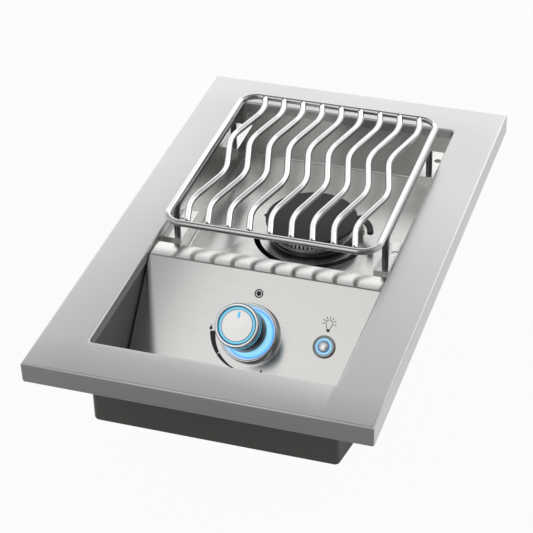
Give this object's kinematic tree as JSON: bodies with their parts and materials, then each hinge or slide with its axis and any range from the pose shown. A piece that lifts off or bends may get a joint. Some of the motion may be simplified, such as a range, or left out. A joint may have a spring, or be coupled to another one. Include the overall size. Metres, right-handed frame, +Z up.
{
  "type": "built_in_side_burner",
  "caption": "Drop-in stainless gas side burner: one burner under a wave-rod grate, with a lit knob and a lit push button on a sloping panel",
  "frame": {"origin": "centre of the footprint, on the underside of the housing", "axes": "+X to the user's right, +Y from the user to the back, +Z up; the control panel faces -Y"},
  "size_m": [0.32, 0.528, 0.1582],
  "materials": {
    "stainless_brushed": "brushed",
    "stainless_mirror": "bright annealed",
    "housing_grey": "satin",
    "zinc_plate": "zinc plated",
    "black_enamel": "gloss enamel",
    "matte_enamel": "matte enamel",
    "cast_aluminium": "as cast, machined",
    "ceramic_white": "glazed ceramic",
    "brass": "machined",
    "black_gloss": "gloss",
    "black_plastic": "moulded",
    "light_blue": "translucent, lit",
    "board_green": "circuit board",
    "button_grey": "satin metal look",
    "chrome": "polished",
    "rod_polished": "polished stainless rod"
  },
  "bodies": {
    "root": {"top_frame": "stainless_brushed", "housing": "housing_grey", "housing_front": "housing_grey", "housing_back": "housing_grey", "tray_rails": "zinc_plate", "burner_tray": "stainless_mirror", "control_panel": "stainless_brushed", "grate_bracket_front_left": "stainless_mirror", "grate_bracket_front_right": "stainless_mirror", "grate_bracket_rear_left": "stainless_mirror", "grate_bracket_rear_right": "stainless_mirror", "burner_bowl": "black_enamel", "burner_screws": "zinc_plate", "mixer_tube": "cast_aluminium", "air_shutter": "zinc_plate", "burner_head": "cast_aluminium", "igniter_electrode": "ceramic_white", "igniter_arm": "black_enamel", "valve_body": "cast_aluminium", "valve_screws": "zinc_plate", "gas_orifice": "brass", "gas_pipe": "cast_aluminium", "inlet_fitting": "brass", "inlet_locknut": "brass", "knob_bezel": "chrome", "knob_light_ring": "light_blue", "knob_led_board": "board_green", "button_bezel": "chrome", "button_light_ring": "light_blue", "button_switch": "black_plastic", "button_nut": "zinc_plate"},
    "rotor": {"valve_rotor": "brass"},
    "knob": {"valve_stem": "zinc_plate", "knob_body": "black_gloss", "knob_line_ring": "light_blue", "knob_cap_ring": "chrome", "knob_halo_ring": "light_blue", "knob_face": "stainless_brushed"},
    "button": {"button_cap": "button_grey"},
    "grate": {"grate_loop": "rod_polished", "grate_leg_left": "rod_polished", "grate_leg_right": "rod_polished", "wave_rod_1": "rod_polished", "wave_rod_2": "rod_polished", "wave_rod_3": "rod_polished", "wave_rod_4": "rod_polished", "wave_rod_5": "rod_polished", "wave_rod_6": "rod_polished", "wave_rod_7": "rod_polished", "wave_rod_8": "rod_polished", "wave_rod_9": "rod_polished"},
    "cap": {"burner_cap": "matte_enamel"}
  },
  "joints": [
    {"name": "knob_turn", "type": "hinge", "parent": "root", "child": "rotor", "pos_m": [0, -0.11067, 0.08323], "axis": [0, -0.7071, 0.7071], "range_deg": [0, 180]},
    {"name": "knob_push", "type": "slide", "parent": "rotor", "child": "knob", "axis": [0, 0.7071, -0.7071], "range_m": [0, 0.003], "stiffness_N_per_m": 1500, "springref_m": -0.002},
    {"name": "button_push", "type": "slide", "parent": "root", "child": "button", "axis": [0, 0.7071, -0.7071], "range_m": [0, 0.0015], "stiffness_N_per_m": 1000, "springref_m": -0.001},
    {"name": "grate_lift", "type": "slide", "parent": "root", "child": "grate", "axis": [0, 0, 1], "range_m": [0, 0.1]},
    {"name": "burner_cap_lift", "type": "slide", "parent": "root", "child": "cap", "axis": [0, 0, 1], "range_m": [0, 0.04]}
  ]
}
